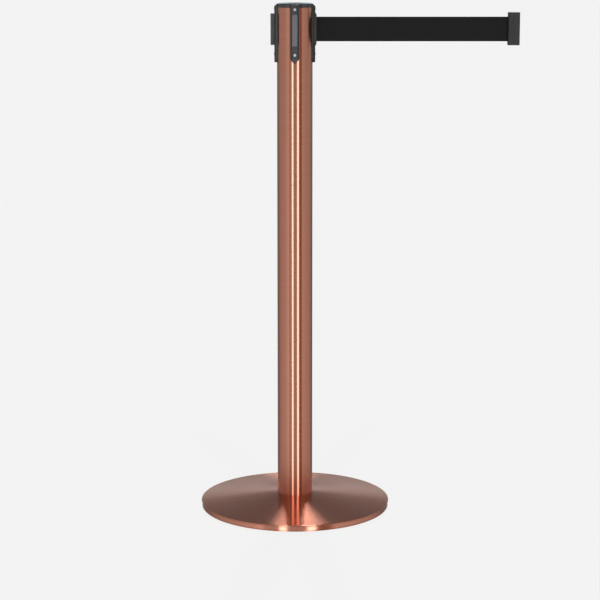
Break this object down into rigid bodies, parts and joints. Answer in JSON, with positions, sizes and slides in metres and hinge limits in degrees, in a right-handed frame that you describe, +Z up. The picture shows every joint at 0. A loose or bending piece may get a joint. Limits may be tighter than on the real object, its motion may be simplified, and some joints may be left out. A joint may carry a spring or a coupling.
{
  "type": "retractable belt stanchion",
  "caption": "Free-standing queue post on a weighted round base, with a spring-wound belt in its head and side rails that take a neighbouring post's belt end.",
  "frame": {"origin": "on the floor under the post's axis", "axes": "+Z up along the post, +X the way the belt leaves the head"},
  "size_m": [0.6302, 0.38, 1.016],
  "materials": {
    "copper": "steel with a satin brushed copper finish",
    "head_plastic": "dark grey moulded plastic, satin",
    "clip_plastic": "dark grey moulded plastic, matt",
    "webbing": "black woven polyester webbing",
    "steel": "zinc plated steel",
    "cast_iron": "grey cast iron",
    "rubber": "black rubber",
    "black_plastic": "black nylon",
    "white_plastic": "natural acetal",
    "bronze": "sintered bronze",
    "brake_lining": "moulded brake lining"
  },
  "bodies": {
    "post": {"floor_pad": "rubber", "base_weight": "cast_iron", "rim_band": "copper", "base_cover": "copper", "base_bolt": "steel", "lock_washer": "steel", "flat_washer": "steel", "foot_plug": "steel", "post_tube": "copper", "top_cap": "head_plastic", "receiver_left": "head_plastic", "receiver_front": "head_plastic", "receiver_rear": "head_plastic", "exit_plate": "head_plastic", "plate_screws": "steel", "mouth_liner": "black_plastic", "cassette_case": "black_plastic", "cassette_lid": "black_plastic", "spindle": "steel", "spindle_clip": "steel", "spring_arbor": "steel", "brake_ring": "steel", "guide_pins": "steel"},
    "spool": {"spool": "white_plastic", "lower_bush": "bronze", "upper_bush": "bronze", "belt_roll": "webbing", "spring_cup": "steel", "spring_cover": "steel", "clock_spring": "steel", "shoe_pins": "steel"},
    "shoe_a": {"brake_shoe_a": "brake_lining"},
    "shoe_b": {"brake_shoe_b": "brake_lining"},
    "belt_end": {"belt_web": "webbing", "clip_body": "clip_plastic", "belt_pin": "steel", "clip_plug": "clip_plastic"}
  },
  "joints": [
    {"name": "belt_pull", "type": "slide", "parent": "post", "child": "belt_end", "axis": [1, 0, 0], "range_m": [-0.3747, 1.6253], "stiffness_N_per_m": 2, "springref_m": -3, "deforming": ["belt_web"]},
    {"name": "spool_spin", "type": "hinge", "parent": "post", "child": "spool", "pos_m": [-0.004, 0, 0.966], "axis": [0, 0, 1], "range_deg": [-1056, 4567], "deforming": ["clock_spring"]},
    {"name": "shoe_a_swing", "type": "hinge", "parent": "spool", "child": "shoe_a", "pos_m": [0.013, 0, 1], "axis": [0, 0, -1], "range_deg": [0, 4.5], "stiffness_Nm_per_rad": 0.02},
    {"name": "shoe_b_swing", "type": "hinge", "parent": "spool", "child": "shoe_b", "pos_m": [-0.021, 0, 1], "axis": [0, 0, -1], "range_deg": [0, 4.5], "stiffness_Nm_per_rad": 0.02}
  ],
  "couplings": [
    {"joint": "spool_spin", "follows": "belt_pull", "rad_per_m": 49}
  ]
}
